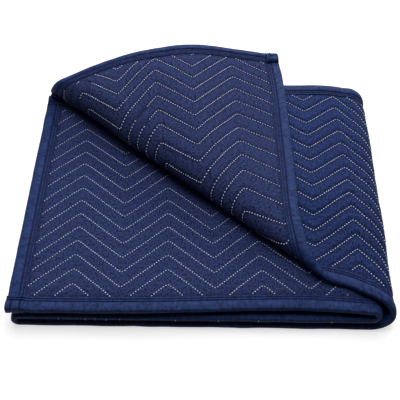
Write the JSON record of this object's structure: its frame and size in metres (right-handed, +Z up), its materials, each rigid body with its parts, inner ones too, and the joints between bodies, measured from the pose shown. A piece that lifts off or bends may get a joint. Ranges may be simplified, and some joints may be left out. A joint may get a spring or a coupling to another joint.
{
  "type": "moving blanket",
  "caption": "Quilted moving blanket with bound edges, folded back and forth into a flat rectangular stack, its top layer's loose corner rolled back over itself.",
  "frame": {"origin": "under the middle of the whole piece, on the surface it lies on", "axes": "+X along the width of the stack, from its loose upper edge towards its outer fold; +Y from its front towards its back; +Z up"},
  "size_m": [0.517, 0.4788, 0.1167],
  "materials": {
    "quilted_cloth": "matt woven cloth, chevron quilted, navy",
    "binding_tape": "smooth woven tape, slightly brighter navy"
  },
  "bodies": {
    "root": {"quilt_panel": "quilted_cloth", "binding_front": "binding_tape", "binding_back": "binding_tape", "binding_end_inner": "binding_tape", "binding_end_top": "binding_tape"}
  },
  "joints": []
}
